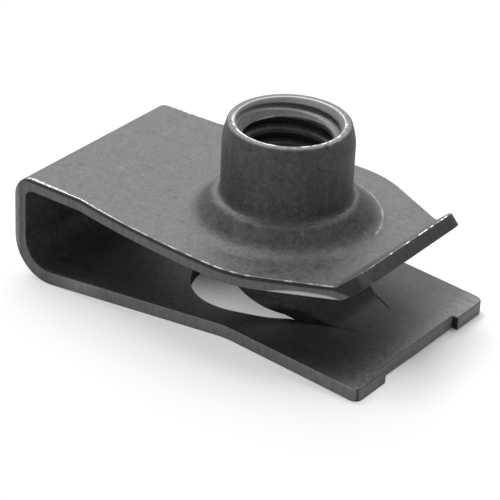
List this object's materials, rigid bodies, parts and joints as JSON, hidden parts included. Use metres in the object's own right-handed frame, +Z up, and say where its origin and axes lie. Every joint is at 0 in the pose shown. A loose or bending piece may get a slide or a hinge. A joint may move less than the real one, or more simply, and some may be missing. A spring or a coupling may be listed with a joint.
{
  "type": "u clip speed nut",
  "caption": "U-shaped sheet steel clip nut: a threaded barrel on the upper leaf, a sprung lower leaf with a lanced locating tongue, pushed over a panel edge.",
  "frame": {"origin": "on the thread axis, in the plane of the upper leaf's underside, where the panel seats", "axes": "+X out of the open end of the throat, +Y across the strip, +Z up through the barrel along the thread axis"},
  "size_m": [0.0325, 0.0198, 0.0164],
  "materials": {
    "phosphated_steel": "dark grey phosphate coat with a light film of oil, satin, rubbed brighter on the rim and the sheared edges"
  },
  "bodies": {
    "root": {"u_clip": "phosphated_steel"}
  },
  "joints": []
}
